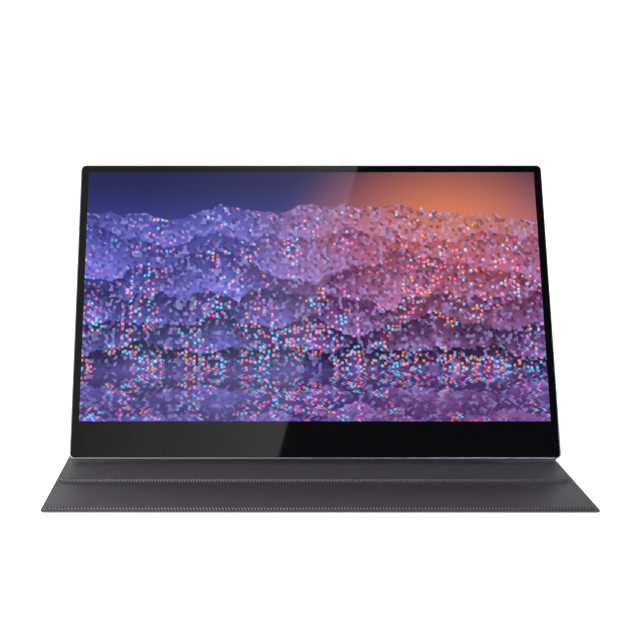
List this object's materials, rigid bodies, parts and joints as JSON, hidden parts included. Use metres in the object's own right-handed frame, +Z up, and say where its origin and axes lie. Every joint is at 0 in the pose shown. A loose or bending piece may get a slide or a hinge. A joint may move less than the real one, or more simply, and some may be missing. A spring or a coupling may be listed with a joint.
{
  "type": "portable monitor with folio cover",
  "caption": "Thin portable monitor with a glass front and metal rim, standing on a folding leather-like cover that props it from behind and lies flat in front.",
  "frame": {"origin": "centre of the bounding box's bottom, on the table under the cover", "axes": "+X to the viewer's right along the screen, +Y away from the viewer, +Z up"},
  "size_m": [0.3604, 0.244, 0.2124],
  "materials": {
    "cover_glass": "polished, black printed border behind the glass",
    "rim_aluminium": "bead blasted and anodised, diamond-cut chamfer",
    "shell_aluminium": "bead blasted and anodised dark grey",
    "steel": "plated",
    "black_plastic": "moulded",
    "white_plastic": "moulded",
    "black_foam": "foam tape",
    "clear_sheet": "clear sheet",
    "panel_aluminium": "plain rolled sheet",
    "white_sheet": "film",
    "display_glass": "polarising film on glass",
    "circuit_board": "solder mask",
    "flex_film": "polyimide film",
    "wire_rubber": "insulated wire",
    "magnet_plating": "nickel plated",
    "leather_outside": "twill-embossed synthetic leather",
    "leather_inside": "twill-embossed synthetic leather",
    "stiffener": "fibre board"
  },
  "bodies": {
    "base": {"base_skin": "leather_outside", "base_board": "stiffener", "base_lining": "leather_inside"},
    "flap": {"flap_skin": "leather_outside", "flap_board": "stiffener", "flap_lining": "leather_inside"},
    "spine": {"spine_skin": "leather_outside", "spine_lining": "leather_inside"},
    "strut": {"strut_skin": "leather_outside", "strut_board": "stiffener", "strut_lining": "leather_inside"},
    "back_panel": {"back_panel_skin": "leather_outside", "back_panel_board": "stiffener", "back_panel_lining": "leather_inside", "back_panel_magnets": "magnet_plating"},
    "monitor": {"cover_glass": "cover_glass", "mid_frame": "rim_aluminium", "port_strip": "black_plastic", "rear_cover": "shell_aluminium", "rear_cover_screws": "steel", "glass_tape": "black_foam", "optical_bond": "clear_sheet", "lcd_cell": "display_glass", "panel_frame": "white_plastic", "diffuser_sheets": "white_sheet", "light_guide": "clear_sheet", "reflector_sheet": "white_sheet", "led_bar": "white_plastic", "panel_back_plate": "panel_aluminium", "driver_board": "circuit_board", "driver_tails": "flex_film", "display_cable": "flex_film", "usb_c_socket_lower": "steel", "usb_c_socket_upper": "steel", "mini_hdmi_socket": "steel", "audio_jack": "black_plastic", "main_board": "circuit_board", "main_chips": "black_plastic", "board_screws": "steel", "key_board": "circuit_board", "power_switch": "black_plastic", "menu_switch": "black_plastic", "key_cable": "flex_film", "speaker_left": "black_plastic", "speaker_right": "black_plastic", "speaker_wires": "wire_rubber", "keeper_plates": "steel"},
    "power_button": {"power_button": "shell_aluminium"},
    "menu_wheel": {"menu_wheel": "black_plastic"}
  },
  "joints": [
    {"name": "flap_fold", "type": "hinge", "parent": "base", "child": "flap", "pos_m": [0, -0.0717, 0.00025], "axis": [-1, 0, 0], "range_deg": [0, 120]},
    {"name": "spine_fold", "type": "hinge", "parent": "base", "child": "spine", "pos_m": [0, 0.107, 0.00025], "axis": [-1, 0, 0], "range_deg": [0, 90]},
    {"name": "strut_fold", "type": "hinge", "parent": "spine", "child": "strut", "pos_m": [0, 0.1195, 0.0025], "axis": [-1, 0, 0], "range_deg": [-7.3, 20.3]},
    {"name": "back_fold", "type": "hinge", "parent": "strut", "child": "back_panel", "pos_m": [0.002, 0.04652, 0.15473], "axis": [1, 0, 0], "range_deg": [-14, 40]},
    {"name": "monitor_release", "type": "slide", "parent": "back_panel", "child": "monitor", "axis": [0, -0.9078, 0.4195], "range_m": [0, 0.04]},
    {"name": "power_press", "type": "slide", "parent": "monitor", "child": "power_button", "axis": [1, 0, 0], "range_m": [0, 0.0004], "stiffness_N_per_m": 2000},
    {"name": "menu_turn", "type": "hinge", "parent": "monitor", "child": "menu_wheel", "pos_m": [-0.1719, -0.00037, 0.06755], "axis": [0, -0.9078, 0.4195], "range_deg": [-20, 20], "stiffness_Nm_per_rad": 0.01}
  ],
  "couplings": [
    {"joint": "strut_fold", "follows": "back_fold", "ratio": 0.5}
  ]
}
